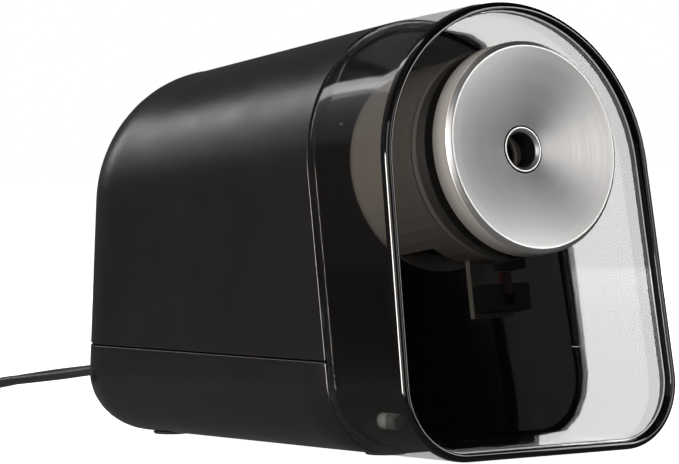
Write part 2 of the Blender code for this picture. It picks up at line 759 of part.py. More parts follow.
def motor_shaft():
    start, end = IDLER_S[0] - 0.5, PLATE_S[1] + MOTOR_LENGTH + 8
    return rod("motor_shaft", 1.5, start, end, nickel(), along(0, 0, MOTOR_DROP), 16)


def armature():
    """Laminated core with its windings and commutator on the motor's shaft."""
    start = PLATE_S[1] + 8
    profile = [
        (1.65, start), (8, start), (12.5, start + 5), (12.5, start + 29), (8, start + 33), (4.5, start + 33),
        (4.5, start + 37), (1.65, start + 37),
    ]
    return turned("armature", profile, copper(), along(0, 0, MOTOR_DROP), 24)


def start_slider():
    """The slide that a pencil wedges downwards to close the start switch."""
    s0, s1 = SLIDER_S
    top, foot = 2.9, SWITCH_DROP - 2.6
    half = 2.6
    side = [(top, s1), (top, s1 - 0.5), (top + 1.7, s0), (foot, s0), (foot, s0 + 5.7), (foot - 1.6, s0 + 5.7),
            (foot - 1.6, s1)]
    rings = [[(x, drop, s) for drop, s in side] for x in (-half, half)]
    return loft("start_slider", rings, black_moulding(), MECHANISM)


def switch_button():
    top = SWITCH_DROP - 2.6 + GAP
    return box("switch_button", (2.6, 5.2, 1.6), (0, top + 2.6, 10.6), material("switch_red", (0.45, 0.03, 0.02), 0.4),
               MECHANISM)


def start_switch():
    """A snap-action switch on the shelf below the drum."""
    body = box("start_switch", (12.8, 6.5, 5.8), (0, SWITCH_DROP + 3.7, 12.7), black_moulding(), MECHANISM)
    slot = box("button_slot", (3.2, 7, 2.2), (0, SWITCH_DROP + 2.0, 10.6), black_moulding(), MECHANISM)
    return combine(body, slot)


def interlock_frame():
    """On the interlock plunger's line, Z running back from the face."""
    return Matrix.Translation((-24, 0, FOOT_STAND + 8)) @ Matrix.Rotation(-math.pi / 2, 4, "X")


def interlock_plunger():
    start = SEAM_Y - 4 + GAP
    profile = [(0, 45.5), (2.0, 45.5), (2.0, start + 0.6), (1.4, start), (0, start)]
    return turned("interlock_plunger", profile, white_nylon(), interlock_frame(), 16)


def interlock_switch():
    body = box("interlock_switch", (6.5, 12.8, 12), (-24, 47.4, FOOT_STAND + 10.4), black_moulding())
    return combine(body, rod("interlock_bore", 2.3, 30, 50, black_moulding(), interlock_frame(), 16))


def rectifier_board():
    board = box("rectifier_board", (30, 26, 1.6), (0, 146 - 34, 8), circuit_board())
    for i, x in enumerate((-12, 12)):
        combine(board, rod(f"board_hole_{i + 1}", 1.6, 0, 20, circuit_board(), place(x, 112), 12))
    return board


def rectifier_block():
    return box("rectifier_block", (9, 5, 7), (-6, 106, 8.8 + GAP + 3.5), black_moulding())


def capacitor():
    start = 8.8 + GAP
    profile = [(0, start + 8), (3.6, start + 8), (4, start + 7.6), (4, start), (0, start)]
    return turned("capacitor", profile, nickel(), place(7, 112), 16)


def cord_exit_frame():
    """On the line where the cord leaves the tray, Z running back and slightly down."""
    return Matrix.Translation((0, 0, 34.1)) @ Matrix.Rotation(-math.radians(90 + 5.85), 4, "X")


def strain_relief():
    """The tapered rubber sleeve clamped in the tray's rear wall."""
    wall_s, tip_s = 165.0, 192.9
    profile = [
        (6.6, wall_s - 6.8), (6.6, wall_s - 5.4), (4.9, wall_s - 5.4), (4.9, wall_s + 4.6), (6.4, wall_s + 5.2),
    ]
    for i in range(3):
        s = wall_s + 7.5 + i * 6.4
        r = 5.4 - 0.55 * i
        profile += [(r, s), (r, s + 3.6), (r - 1.0, s + 4.2), (r - 1.0, s + 6.2)]
    profile += [(3.7, tip_s), (CORD_R + GAP, tip_s), (CORD_R + GAP, wall_s - 6.8)]
    return turned("strain_relief", profile, rubber(), cord_exit_frame(), 16)


def tray_screw(index, x, y):
    head = FOOT_STAND + 0.7
    profile = [(0, head + 11), (1.4, head + 11), (1.4, head + 1.6), (2.9, head + 1.6), (2.9, head), (0, head)]
    return turned(f"tray_screw_{index}", profile, zinc_steel(), place(x, y), 12)


def rubber_foot(index, x, y):
    top = FOOT_STAND - 0.3
    profile = [(0, top), (5.2, top), (4.9, 0.0), (0, 0.0)]
    return turned(f"foot_{index}", profile, rubber(), place(x, y), 20)


def motor_lead(name, side, finish):
    """One insulated wire from the rectifier board up to the motor's end bell."""
    bell = along(PLATE_S[1] + GAP + MOTOR_LENGTH + 2 + GAP + 1.2, 8 * side, MOTOR_DROP + 6).translation
    points = []
    low = Vector((11 * side, 122, 8.8 + GAP + 1.1))
    for i in range(9):
        t = i / 8
        bow = math.sin(math.pi * t)
        point = low.lerp(bell, t) + Vector((0, 9 * bow, -2.2 * bow * (1 - t)))
        points.append(point)
    return tube(name, points, 0.9, finish)


# --- cord and plug ---

def cord_coil():
    half = COIL_COLUMNS * CORD_R
    top = COIL_LAYERS * 2 * CORD_R
    low, high = COIL_MEAN_R - half, COIL_MEAN_R + half
    soft = 1.6
    profile = [
        (low, soft), (low + soft, 0), (high - soft, 0), (high, soft), (high, top - soft), (high - soft, top),
        (low + soft, top), (low, top - soft),
    ]
    return turned("cord_coil", profile, cord_vinyl(), place(*COIL_CENTRE), 32)


def tail_frame():
    """Origin where the cord leaves the coil at its right, X running on towards the plug."""
    reach = COIL_MEAN_R + (COIL_COLUMNS - 1) * CORD_R
    right = Matrix.Translation((COIL_CENTRE[0] + reach, COIL_CENTRE[1], PLUG_Z))
    return right @ Matrix.Rotation(math.pi / 2, 4, "Z")


def cord_tail():
    steps = 5
    run = TAIL_END - TAIL_START
    points = [tail_frame() @ Vector((TAIL_START + run * i / (steps - 1), 0, 0)) for i in range(steps)]
    return tube("cord_tail", points, CORD_R, cord_vinyl())


def plug_body():
    start = TAIL_END + GAP
    body = box("plug_body", (20, 23, 15.4), (start + 18, 0, 0), black_moulding(), tail_frame(), bevel=3.0)
    shape = Matrix.Translation((start, 0, 0)) @ Matrix.Rotation(math.pi / 2, 4, "Y")
    neck = turned("plug_neck", [(0, 12), (5.6, 12), (5.2, 7), (3.6, 0), (0, 0)], black_moulding(), tail_frame() @ shape)
    return combine(body, neck, "UNION")


def plug_blade(index, y):
    front = TAIL_END + GAP + 28 + GAP
    return box(f"plug_blade_{index}", (17.5, 1.5, 6.35), (front + 8.75, y, 0), nickel(), tail_frame())


def build():
    empty_scene()
    for make in (bin_shell, face_plate, knob_core, knob_cover, pencil_guide, main_housing, base_tray, bulkhead,
                 cutter_shroud, shroud_cap, ring_gear, cutter_pinion, helical_cutter, cutter_axle, cutter_carrier,
                 carrier_spindle, output_gear, idler_gear, idler_shaft, motor_pinion, motor_plate, motor_can,
                 motor_end_bell, motor_shaft, armature, start_slider, switch_button, start_switch,
                 interlock_plunger, interlock_switch, rectifier_board, rectifier_block, capacitor, strain_relief,
                 cord_coil, cord_tail, plug_body):
        make()
    spindle_bush("front_bush", POT_END - 3.4, POT_END + 0.6, 5.0)
    spindle_bush("rear_bush", PLATE_S[0] - 2, PLATE_S[1], 6.0)
    for i, (x, drop) in enumerate(post_places()):
        plate_post(i + 1, x, drop)
    for i, (x, drop) in enumerate(shroud_screw_places()):
        shroud_screw(i + 1, x, drop)
    for i, x in enumerate(motor_screw_places()):
        motor_screw(i + 1, x)
    for i, (x, y) in enumerate(tray_screw_places()):
        tray_screw(i + 1, x, y)
    for i, (x, y) in enumerate(foot_places()):
        rubber_foot(i + 1, x, y)
    motor_lead("motor_lead_red", 1, red_wire())
    motor_lead("motor_lead_black", -1, black_moulding())
    tube("power_cord", CORD_ROUTE, CORD_R, cord_vinyl())
    for i, y in enumerate((-6.35, 6.35)):
        plug_blade(i + 1, y)


build()
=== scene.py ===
"""Electric pencil sharpener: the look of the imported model.

Lengths are in millimetres in the part's own drawing frame, and metres() takes them to the row frame.
"""

import json
import math
import bmesh
import bpy
from mathutils import Matrix, Vector


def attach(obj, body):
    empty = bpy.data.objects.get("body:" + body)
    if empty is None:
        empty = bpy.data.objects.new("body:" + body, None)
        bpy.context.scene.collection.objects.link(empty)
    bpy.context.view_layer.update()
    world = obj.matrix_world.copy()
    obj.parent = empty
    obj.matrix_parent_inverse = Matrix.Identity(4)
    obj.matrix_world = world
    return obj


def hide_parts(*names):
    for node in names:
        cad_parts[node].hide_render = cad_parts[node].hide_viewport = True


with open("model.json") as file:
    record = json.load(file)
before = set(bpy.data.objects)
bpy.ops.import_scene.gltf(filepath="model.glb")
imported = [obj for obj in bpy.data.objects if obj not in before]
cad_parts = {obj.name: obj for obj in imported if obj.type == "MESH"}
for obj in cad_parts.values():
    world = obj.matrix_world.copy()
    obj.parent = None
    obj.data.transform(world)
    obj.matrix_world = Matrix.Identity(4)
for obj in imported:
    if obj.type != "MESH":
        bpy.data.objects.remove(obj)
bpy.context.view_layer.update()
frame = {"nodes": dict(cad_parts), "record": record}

MM = 0.001
TAU = 2 * math.pi
GAP = 0.3

# --- the body's section and the mechanism's axis, as the CAD has them ---

FOOT_STAND = 1.0
ARCH_R, ARCH_Z = 39.8, 67.8
HALF_BASE, CORNER_R = 41.5, 17.3
BODY_L, REAR_ROUND = 167.3, 26.4
REAR_TAPER, REAR_DROP = 0.165, 0.119
FACE_LEAN, SEAM_LEAN, REAR_LEAN = (math.radians(a) for a in (8.0, 9.6, -2.7))
SEAM_Y = 31.6
TRAY_SEAM_Z = 23.8
WALL, BIN_WALL = 2.4, 2.0
STRAIGHT = BODY_L - REAR_ROUND
SEAM_SHARE = SEAM_Y / STRAIGHT
LIP_R = 1.3
LIP_DEPTH = 2.4
SEAM_EASE = 0.4
BODY_MIDDLE_Y = (LIP_R * math.tan(FACE_LEAN) + BODY_L + REAR_ROUND * math.tan(REAR_LEAN)) / 2
AXIS_Z = 72.2
MECHANISM = Matrix.Translation((0, AXIS_Z * math.tan(FACE_LEAN), AXIS_Z + FOOT_STAND)) @ Matrix.Rotation(
    -(math.pi / 2 + FACE_LEAN), 4, "X"
)
PLATE_FRONT, PLATE_BACK = 2.3, 4.3
KNOB_R, KNOB_FRONT, DISH_DEPTH, PENCIL_R = 25.5, -5.5, 4.4, 4.12
SHROUD_R = 25.0
SHROUD_SCREWS = [(28.4 * math.cos(a), 28.4 * math.sin(a)) for a in (math.radians(d) for d in (65, 205, 300))]
TRAY_SCREWS = [(x, y) for x in (-22, 22) for y in (70, 128)]
FEET = [(x, y) for x in (-16, 16) for y in (44, 138)]
FOOT_R = 5.2
PLUNGER_X = -24  # the interlock's plunger and the bin's tab that pushes it
CORD_EXIT = Matrix.Translation((0, 0, 34.1)) @ Matrix.Rotation(-math.radians(95.85), 4, "X")

# Facets of each stretch of the section and of the body's length
ARCH_STEPS, CORNER_STEPS, FLANK_STEPS, BASE_STEPS = 44, 18, 8, 5
SIDE_STEPS, REAR_STEPS = 8, 14
LIP_STEPS, SEAM_EASE_STEPS = 8, 4
REAR_END = math.radians(86)


def metres(matrix):
    """The same placement in metres, measured from the row frame's origin."""
    placed = matrix.copy()
    placed.translation = (matrix.translation - Vector((0, BODY_MIDDLE_Y, 0))) * MM
    return placed


def row(point):
    """A drawing point in the row frame."""
    return (Vector(point) - Vector((0, BODY_MIDDLE_Y, 0))) * MM


def along(s, x=0.0, drop=0.0):
    return MECHANISM @ Matrix.Translation((x, drop, s))


def place(x, y, z=0.0):
    return Matrix.Translation((x, y, z))


# --- camera ---

YAW, PITCH, ROLL = 0.627565, -0.023097, -0.017017
forward = Vector((math.sin(YAW) * math.cos(PITCH), math.cos(YAW) * math.cos(PITCH), math.sin(PITCH)))
level_right = Vector((math.cos(YAW), -math.sin(YAW), 0))
level_up = level_right.cross(forward)
right = level_right * math.cos(ROLL) + level_up * math.sin(ROLL)
up = level_up * math.cos(ROLL) - level_right * math.sin(ROLL)
camera = bpy.data.objects.new("camera", bpy.data.cameras.new("camera"))
camera.matrix_world = Matrix((right, up, -forward)).transposed().to_4x4()
camera.location = (-0.53759, -0.74051, 0.07424)
camera.data.lens = 191.22
camera.data.sensor_width = 36.0
camera.data.clip_start = 0.01
bpy.context.scene.collection.objects.link(camera)
bpy.context.scene.camera = camera


# --- materials ---

class Finish:
    """A Principled material whose colour, roughness and relief come from procedural textures."""

    def __init__(self, name, colour, roughness, metallic=0.0, **constants):
        self.material = bpy.data.materials.new(name)
        self.material.use_nodes = True
        self.tree = self.material.node_tree
        self.shader = self.tree.nodes["Principled BSDF"]
        self.shader.inputs["Base Color"].default_value = (*colour, 1)
        self.shader.inputs["Roughness"].default_value = roughness
        self.shader.inputs["Metallic"].default_value = metallic
        for socket, value in constants.items():
            self.shader.inputs[socket.replace("_", " ")].default_value = value
        self.place = self.tree.nodes.new("ShaderNodeTexCoord").outputs["Object"]
        self.relief = None

    def node(self, kind, inputs=None, **settings):
        made = self.tree.nodes.new(kind)
        for key, value in settings.items():
            setattr(made, key, value)
        for key, value in (inputs or {}).items():
            if isinstance(value, bpy.types.NodeSocket):
                self.tree.links.new(value, made.inputs[key])
            else:
                made.inputs[key].default_value = value
        return made

    def noise(self, scale, detail, stretch=None, rough=0.5):
        """Noise with so many features to the metre, squeezed by stretch along each axis."""
        at = self.place
        if stretch:
            at = self.node("ShaderNodeMapping", {"Vector": at, "Scale": stretch}).outputs["Vector"]
        return self.node(
            "ShaderNodeTexNoise", {"Vector": at, "Scale": scale, "Detail": detail, "Roughness": rough}
        ).outputs["Fac"]

    def span(self, factor, low, high, start=0.3, end=0.7):
        """A number that follows a texture between two limits."""
        return self.node(
            "ShaderNodeMapRange",
            {"Value": factor, "From Min": start, "From Max": end, "To Min": low, "To Max": high},
        ).outputs["Result"]

    def tint(self, factor, first, second, start=0.35, end=0.65):
        """Base colour that wanders between two colours."""
        mix = self.node("ShaderNodeMix", {"Factor": self.span(factor, 0, 1, start, end)}, data_type="RGBA")
        for socket, colour in (("A", first), ("B", second)):
            next(i for i in mix.inputs if i.name == socket and i.type == "RGBA").default_value = (*colour, 1)
        out = next(o for o in mix.outputs if o.type == "RGBA")
        self.tree.links.new(out, self.shader.inputs["Base Color"])

    def gloss(self, factor, low, high):
        self.tree.links.new(self.span(factor, low, high), self.shader.inputs["Roughness"])

    def bump(self, height, depth, strength=1.0):
        """Relief of so many millimetres; a second call lies on the first."""
        inputs = {"Height": height, "Distance": depth * MM, "Strength": strength}
        if self.relief:
            inputs["Normal"] = self.relief
        self.relief = self.node("ShaderNodeBump", inputs).outputs["Normal"]
        self.tree.links.new(self.relief, self.shader.inputs["Normal"])

    def radius(self):
        """Distance from the object's own Z axis."""
        split = self.node("ShaderNodeSeparateXYZ", {"Vector": self.place})
        x, y = split.outputs["X"], split.outputs["Y"]
        square = [self.node("ShaderNodeMath", {0: v, 1: v}, operation="MULTIPLY").outputs[0] for v in (x, y)]
        total = self.node("ShaderNodeMath", {0: square[0], 1: square[1]}, operation="ADD").outputs[0]
        return self.node("ShaderNodeMath", {0: total}, operation="SQRT").outputs[0]

    def rings(self, scale):
        """Noise that depends only on the radius and the height, as a lathe leaves it."""
        split = self.node("ShaderNodeSeparateXYZ", {"Vector": self.place})
        at = self.node("ShaderNodeCombineXYZ", {"X": self.radius(), "Z": split.outputs["Z"]}).outputs[0]
        return self.node(
            "ShaderNodeTexNoise", {"Vector": at, "Scale": scale, "Detail": 3.0, "Roughness": 0.6}
        ).outputs["Fac"]


def moulded(name, colour, other, roughness, grain=0.03, grain_scale=2600, **constants):
    """Spark-textured moulding: fine even relief, slow changes of tone and gloss."""
    made = Finish(name, colour, roughness, **constants)
    made.tint(made.noise(24, 3), colour, other)
    made.gloss(made.noise(60, 4), roughness - 0.05, roughness + 0.05)
    made.bump(made.noise(grain_scale, 2, rough=0.6), grain)
    made.bump(made.noise(45, 1), 0.12, 0.25)
    return made.material


def polished(name, colour, roughness, haze, **constants):
    """Polished moulding with faint handling haze and a slightly uneven surface."""
    made = Finish(name, colour, roughness, **constants)
    made.tint(made.noise(15, 2), colour, tuple(c * 1.25 for c in colour))
    made.gloss(made.noise(70, 5, rough=0.65), roughness, roughness + haze)
    return made.material


def metal(name, colour, other, roughness, stretch=None, scale=900, depth=0.004, **constants):
    made = Finish(name, colour, roughness, 1.0, **constants)
    made.tint(made.noise(120, 4), colour, other)
    made.gloss(made.noise(scale * 0.4, 4, stretch), roughness - 0.05, roughness + 0.08)
    made.bump(made.noise(scale, 4, stretch), depth)
    return made.material


def spun(name, colour, other, roughness, anisotropic, metallic=1.0):
    """Lathe-finished metal; the object's own Z is the spindle."""
    made = Finish(name, colour, roughness, metallic, Anisotropic=anisotropic)
    made.tint(made.rings(700), colour, other, 0.3, 0.7)
    made.gloss(made.rings(2500), roughness - 0.04, roughness + 0.05)
    made.bump(made.rings(5200), 0.002, 0.5)
    tangent = made.node("ShaderNodeTangent", direction_type="RADIAL", axis="Z").outputs["Tangent"]
    made.tree.links.new(tangent, made.shader.inputs["Tangent"])
    return made.material


SHELL = moulded("shell_matt", (0.0065, 0.0056, 0.0072), (0.0082, 0.0070, 0.0084), 0.23, Specular_IOR_Level=0.42)
# The clear parts are thin: alpha lets the light through, and the index makes up for the shine that alpha takes
SMOKE = polished("smoke_clear", (0.003, 0.0022, 0.002), 0.035, 0.03, Alpha=0.40, IOR=1.85)
PLATE = polished("plate_mirror", (0.0012, 0.0011, 0.0011), 0.006, 0.012, Alpha=0.56, IOR=1.8)
LIP = polished("smoke_lip", (0.003, 0.0025, 0.0025), 0.03, 0.03, IOR=1.49)
GLOSS = polished("bulkhead_gloss", (0.003, 0.003, 0.003), 0.05, 0.03, Specular_IOR_Level=0.15)
BLACK = moulded("moulding_black", (0.014, 0.014, 0.014), (0.02, 0.02, 0.02), 0.45)
DRUM = moulded("moulding_grey", (0.44, 0.395, 0.345), (0.48, 0.43, 0.38), 0.42, 0.02)
NYLON = moulded("nylon_white", (0.74, 0.73, 0.68), (0.80, 0.79, 0.74), 0.42, 0.01, Subsurface_Weight=0.08)
ALUMINIUM = spun("aluminium_spun", (0.60, 0.594, 0.594), (0.64, 0.634, 0.63), 0.38, 0.0)
RIM = spun("aluminium_rim", (0.52, 0.50, 0.475), (0.58, 0.555, 0.53), 0.46, 0.6, metallic=0.72)
TOOL = metal("steel_tool", (0.40, 0.39, 0.38), (0.50, 0.49, 0.47), 0.3, (1, 1, 6))
ZINC = metal("steel_zinc", (0.58, 0.58, 0.56), (0.66, 0.66, 0.62), 0.34)
BRONZE = metal("bronze_sintered", (0.50, 0.33, 0.17), (0.58, 0.38, 0.2), 0.42, None, 1800, 0.02)
COPPER = metal("copper_wound", (0.62, 0.30, 0.17), (0.74, 0.40, 0.24), 0.36, (6, 1, 6), 700, 0.05)
NICKEL = metal("nickel_plate", (0.70, 0.68, 0.64), (0.76, 0.74, 0.70), 0.2)
RUBBER = moulded("rubber_matt", (0.014, 0.014, 0.014), (0.022, 0.021, 0.02), 0.72, 0.03)
VINYL = moulded("vinyl_flex", (0.012, 0.012, 0.013), (0.017, 0.017, 0.018), 0.36, 0.008, 1500)
BOARD = moulded("board_mask", (0.03, 0.15, 0.06), (0.05, 0.2, 0.08), 0.42, 0.01)
RED_WIRE = moulded("wire_red", (0.45, 0.02, 0.015), (0.52, 0.03, 0.02), 0.34, 0.006)
RED = moulded("moulding_red", (0.07, 0.014, 0.012), (0.09, 0.018, 0.015), 0.4, 0.01)

SLOT_LOOK = {
    "smoke_plastic": SMOKE, "gloss_black": GLOSS, "black_shell": SHELL, "black_moulding": BLACK,
    "grey_moulding": DRUM, "white_nylon": NYLON, "satin_aluminium": ALUMINIUM, "tool_steel": TOOL,
    "zinc_steel": ZINC, "bronze": BRONZE, "copper": COPPER, "nickel": NICKEL, "rubber": RUBBER,
    "cord_vinyl": VINYL, "circuit_board": BOARD, "red_wire": RED_WIRE, "switch_red": RED,
}
NODE_SLOT = {part["node"]: part["material_slot"] for part in frame["record"]["subparts"]}

# Small mouldings and plates whose sharp edges are eased
EASED = {
    "start_switch": 0.4, "interlock_switch": 0.5, "switch_button": 0.25, "start_slider": 0.3,
    "rectifier_block": 0.3, "motor_plate": 0.2, "rectifier_board": 0.1,
}


def dress_cad():
    for name, obj in frame["nodes"].items():
        look = SLOT_LOOK[NODE_SLOT[name]]
        if not obj.material_slots:
            obj.data.materials.append(look)
        for slot in obj.material_slots:
            slot.material = look
        if name in EASED:
            edge = obj.modifiers.new("edges", "BEVEL")
            edge.width, edge.segments, edge.limit_method = EASED[name] * MM, 2, "ANGLE"
            edge.angle_limit = math.radians(50)


# --- making pieces ---

def solid_mesh(name, rows, looped=False):
    """A closed mesh between rings of equally many points; looped, its last ring meets its first."""
    shape = bmesh.new()
    grid = [[shape.verts.new(p) for p in line] for line in rows]
    pairs = list(zip(grid, grid[1:])) + ([(grid[-1], grid[0])] if looped else [])
    count = len(grid[0])
    for near, far in pairs:
        for i in range(count):
            j = (i + 1) % count
            shape.faces.new((near[i], near[j], far[j], far[i]))
    if not looped:
        shape.faces.new(grid[0])
        shape.faces.new(grid[-1])
    return finished(name, shape)


def finished(name, shape):
    bmesh.ops.scale(shape, vec=(MM, MM, MM), verts=shape.verts)
    bmesh.ops.recalc_face_normals(shape, faces=shape.faces)
    mesh = bpy.data.meshes.new(name)
    shape.to_mesh(mesh)
    shape.free()
    return mesh


def show(name, mesh, look, body, stands_for, placement=None, angle=35):
    """Links a piece, shades it, rides it on its body and hides the CAD parts it stands for."""
    obj = bpy.data.objects.new(name, mesh)
    bpy.context.scene.collection.objects.link(obj)
    obj.matrix_world = metres(placement or Matrix.Identity(4))
    mesh.materials.append(look)
    mesh.shade_smooth()
    mesh.set_sharp_from_angle(angle=math.radians(angle))
    if stands_for:
        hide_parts(*stands_for)
    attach(obj, body)
    return obj


def bevelled(obj, width, segments=3, angle=50):
    edge = obj.modifiers.new("edges", "BEVEL")
    edge.width, edge.segments, edge.limit_method = width * MM, segments, "ANGLE"
    edge.angle_limit = math.radians(angle)
    edge.harden_normals = True


def applied(obj):
    """Puts the modifiers' result in the mesh and takes the cutters away."""
    cutters = [m.object for m in obj.modifiers if m.type == "BOOLEAN"]
    evaluated = obj.evaluated_get(bpy.context.evaluated_depsgraph_get())
    mesh = bpy.data.meshes.new_from_object(evaluated)
    obj.modifiers.clear()
    obj.data = mesh
    for cutter in cutters:
        bpy.data.objects.remove(cutter, do_unlink=True)
    mesh.shade_smooth()
    mesh.set_sharp_from_angle(angle=math.radians(35))


def cut(obj, mesh, placement, operation="DIFFERENCE"):
    tool = bpy.data.objects.new(mesh.name, mesh)
    bpy.context.scene.collection.objects.link(tool)
    tool.matrix_world = metres(placement)
    tool.hide_render = True
    boolean = obj.modifiers.new(mesh.name, "BOOLEAN")
    boolean.operation, boolean.solver, boolean.object = operation, "EXACT", tool


def round_bar(name, radius, start, end, sides=32):
    rows = [
        [(radius * math.cos(TAU * i / sides), radius * math.sin(TAU * i / sides), z) for i in range(sides)]
        for z in (start, end)
    ]
    return solid_mesh(name, rows)


def softened(profile, steps=3):
    """A closed outline with each corner rounded by up to the radius that is its third number."""
    out = []
    count = len(profile)
    for i, corner in enumerate(profile):
        here = Vector(corner[:2])
        size = corner[2] if len(corner) > 2 else 0
        before, after = Vector(profile[i - 1][:2]), Vector(profile[(i + 1) % count][:2])
        if size <= 0 or here.x <= 0:
            out.append(tuple(here))
            continue
        reach = min(size, (before - here).length * 0.45, (after - here).length * 0.45)
        first = here + (before - here).normalized() * reach
        last = here + (after - here).normalized() * reach
        for k in range(steps + 1):
            t = k / steps
            out.append(tuple(first * (1 - t) ** 2 + here * 2 * t * (1 - t) + last * t * t))
    return out


def turned_mesh(name, profile, steps):
    """A closed profile of (radius, z) turned about Z; points on the axis are merged."""
    rows = [
        [(r * math.cos(TAU * k / steps), r * math.sin(TAU * k / steps), z) for r, z in profile]
        for k in range(steps)
    ]
    mesh = solid_mesh(name, rows, looped=True)
    shape = bmesh.new()
    shape.from_mesh(mesh)
    bmesh.ops.remove_doubles(shape, verts=shape.verts, dist=1e-7)
    bmesh.ops.recalc_face_normals(shape, faces=shape.faces)
    shape.to_mesh(mesh)
    shape.free()
    return mesh


def box_mesh(name, size, centre):
    shape = bmesh.new()
    bmesh.ops.create_cube(shape, size=1)
    bmesh.ops.scale(shape, vec=size, verts=shape.verts)
    bmesh.ops.translate(shape, vec=centre, verts=shape.verts)
    return finished(name, shape)


# --- the body's rings ---

def half_outline(inset):
    """Right half of the section, top middle to bottom middle, as (x, z)."""
    arch, corner = ARCH_R - inset, max(CORNER_R - inset, 1.5)
    corner_x, corner_z = HALF_BASE - inset - corner, inset + corner
    run = Vector((corner_x, corner_z - ARCH_Z))
    slope = math.asin((arch - corner) / run.length)
    tangent = math.atan2(run.y, run.x) + math.pi / 2 - slope
    points = []
    for i in range(ARCH_STEPS + 1):
        a = math.pi / 2 + (tangent - math.pi / 2) * i / ARCH_STEPS
        points.append(Vector((arch * math.cos(a), ARCH_Z + arch * math.sin(a))))
    first = Vector((corner_x + corner * math.cos(tangent), corner_z + corner * math.sin(tangent)))
    last = points[-1]
    points += [last.lerp(first, i / FLANK_STEPS) for i in range(1, FLANK_STEPS)]
    for i in range(CORNER_STEPS + 1):
        a = tangent + (-math.pi / 2 - tangent) * i / CORNER_STEPS
        points.append(Vector((corner_x + corner * math.cos(a), corner_z + corner * math.sin(a))))
    points += [Vector((points[-1].x * (1 - i / BASE_STEPS), points[-1].y)) for i in range(1, BASE_STEPS + 1)]
    return points


def section_at(points, y, lean, share):
    """Narrows and lowers a section by its share of the taper and puts it in its leaning plane."""
    wide, tall = 1 - REAR_TAPER * share, 1 - REAR_DROP * share
    return [Vector((p.x * wide, y + p.y * math.tan(lean), p.y * tall + FOOT_STAND)) for p in points]


def full_ring(y, lean, share, inset):
    """The whole section as a closed ring."""
    half = half_outline(inset)
    return section_at(half + [Vector((-p.x, p.y)) for p in reversed(half[1:-1])], y, lean, share)


def ring_places(y_start, wall):
    """Where the housing's rings stand: base y, lean, share of the taper, inset."""
    out = []
    for i in range(SIDE_STEPS + 1):
        part = i / SIDE_STEPS
        y = y_start + (STRAIGHT - y_start) * part
        out.append((y, SEAM_LEAN + (REAR_LEAN - SEAM_LEAN) * part, y / STRAIGHT, wall))
    sweep = REAR_ROUND - wall
    for step in range(1, REAR_STEPS + 1):
        a = REAR_END * step / REAR_STEPS
        out.append((STRAIGHT + sweep * math.sin(a), REAR_LEAN, 1, wall + sweep * (1 - math.cos(a))))
    return out


def clipped(where, upper, cut_z, half_count):
    """The part of a ring above or below a height, as evenly spread points from left to right."""
    y, lean, share, inset = where
    level = (cut_z - FOOT_STAND) / (1 - REAR_DROP * share)
    line = half_outline(inset)
    if not upper:
        line = line[::-1]
    kept = [line[0]]
    for a, b in zip(line, line[1:]):
        inside = (b.y > level) if upper else (b.y < level)
        if inside:
            kept.append(b)
        elif a.y != b.y:
            kept.append(a.lerp(b, (level - a.y) / (b.y - a.y)))
            break
    lengths = [0.0]
    for a, b in zip(kept, kept[1:]):
        lengths.append(lengths[-1] + (b - a).length)
    even, k = [], 0
    for i in range(half_count + 1):
        want = lengths[-1] * i / half_count
        while k < len(lengths) - 2 and lengths[k + 1] < want:
            k += 1
        step = lengths[k + 1] - lengths[k]
        even.append(kept[k].lerp(kept[k + 1], (want - lengths[k]) / step if step else 0))
    return section_at([Vector((-p.x, p.y)) for p in reversed(even[1:])] + even, y, lean, share)


def shell_mesh(name, upper, cut_z, half_count, y_start):
    """The housing or the tray as a closed solid: an outer and an inner skin joined round their rim."""
    shape = bmesh.new()
    skins = []
    for wall in (0.0, WALL):
        rings = [clipped(s, upper, cut_z, half_count) for s in ring_places(y_start, wall)]
        grid = [[shape.verts.new(p) for p in ring] for ring in rings]
        for near, far in zip(grid, grid[1:]):
            for i in range(len(near) - 1):
                shape.faces.new((near[i], near[i + 1], far[i + 1], far[i]))
        shape.faces.new(grid[-1])
        skins.append(grid)
    rims = []
    for grid in skins:
        rims.append(grid[0] + [line[-1] for line in grid[1:]] + [line[0] for line in reversed(grid[1:])])
    outer, inner = rims
    for i in range(len(outer)):
        j = (i + 1) % len(outer)
        shape.faces.new((outer[i], outer[j], inner[j], inner[i]))
    return finished(name, shape)


# --- body pieces ---

def make_housing():
    mesh = shell_mesh("housing", True, TRAY_SEAM_Z + GAP / 2, 54, SEAM_Y)
    housing = show("housing", mesh, SHELL, "chassis", ("main_housing",))
    bevelled(housing, 0.35)


def make_tray():
    mesh = shell_mesh("tray", False, TRAY_SEAM_Z - GAP / 2, 34, SEAM_Y)
    tray = show("tray", mesh, SHELL, "chassis", ("base_tray",))
    bevelled(tray, 0.35)
    applied(tray)
    cut(tray, round_bar("cord_hole", 5.2, 158, 176), CORD_EXIT)
    for i, (x, y) in enumerate(TRAY_SCREWS):
        cut(tray, round_bar(f"boss_{i}", 4.0, FOOT_STAND + 1.2, FOOT_STAND + 14), place(x, y), "UNION")
        cut(tray, round_bar(f"sink_{i}", 3.3, -5, FOOT_STAND + 2.6), place(x, y))
        cut(tray, round_bar(f"bore_{i}", 1.7, -5, 30), place(x, y))
    applied(tray)


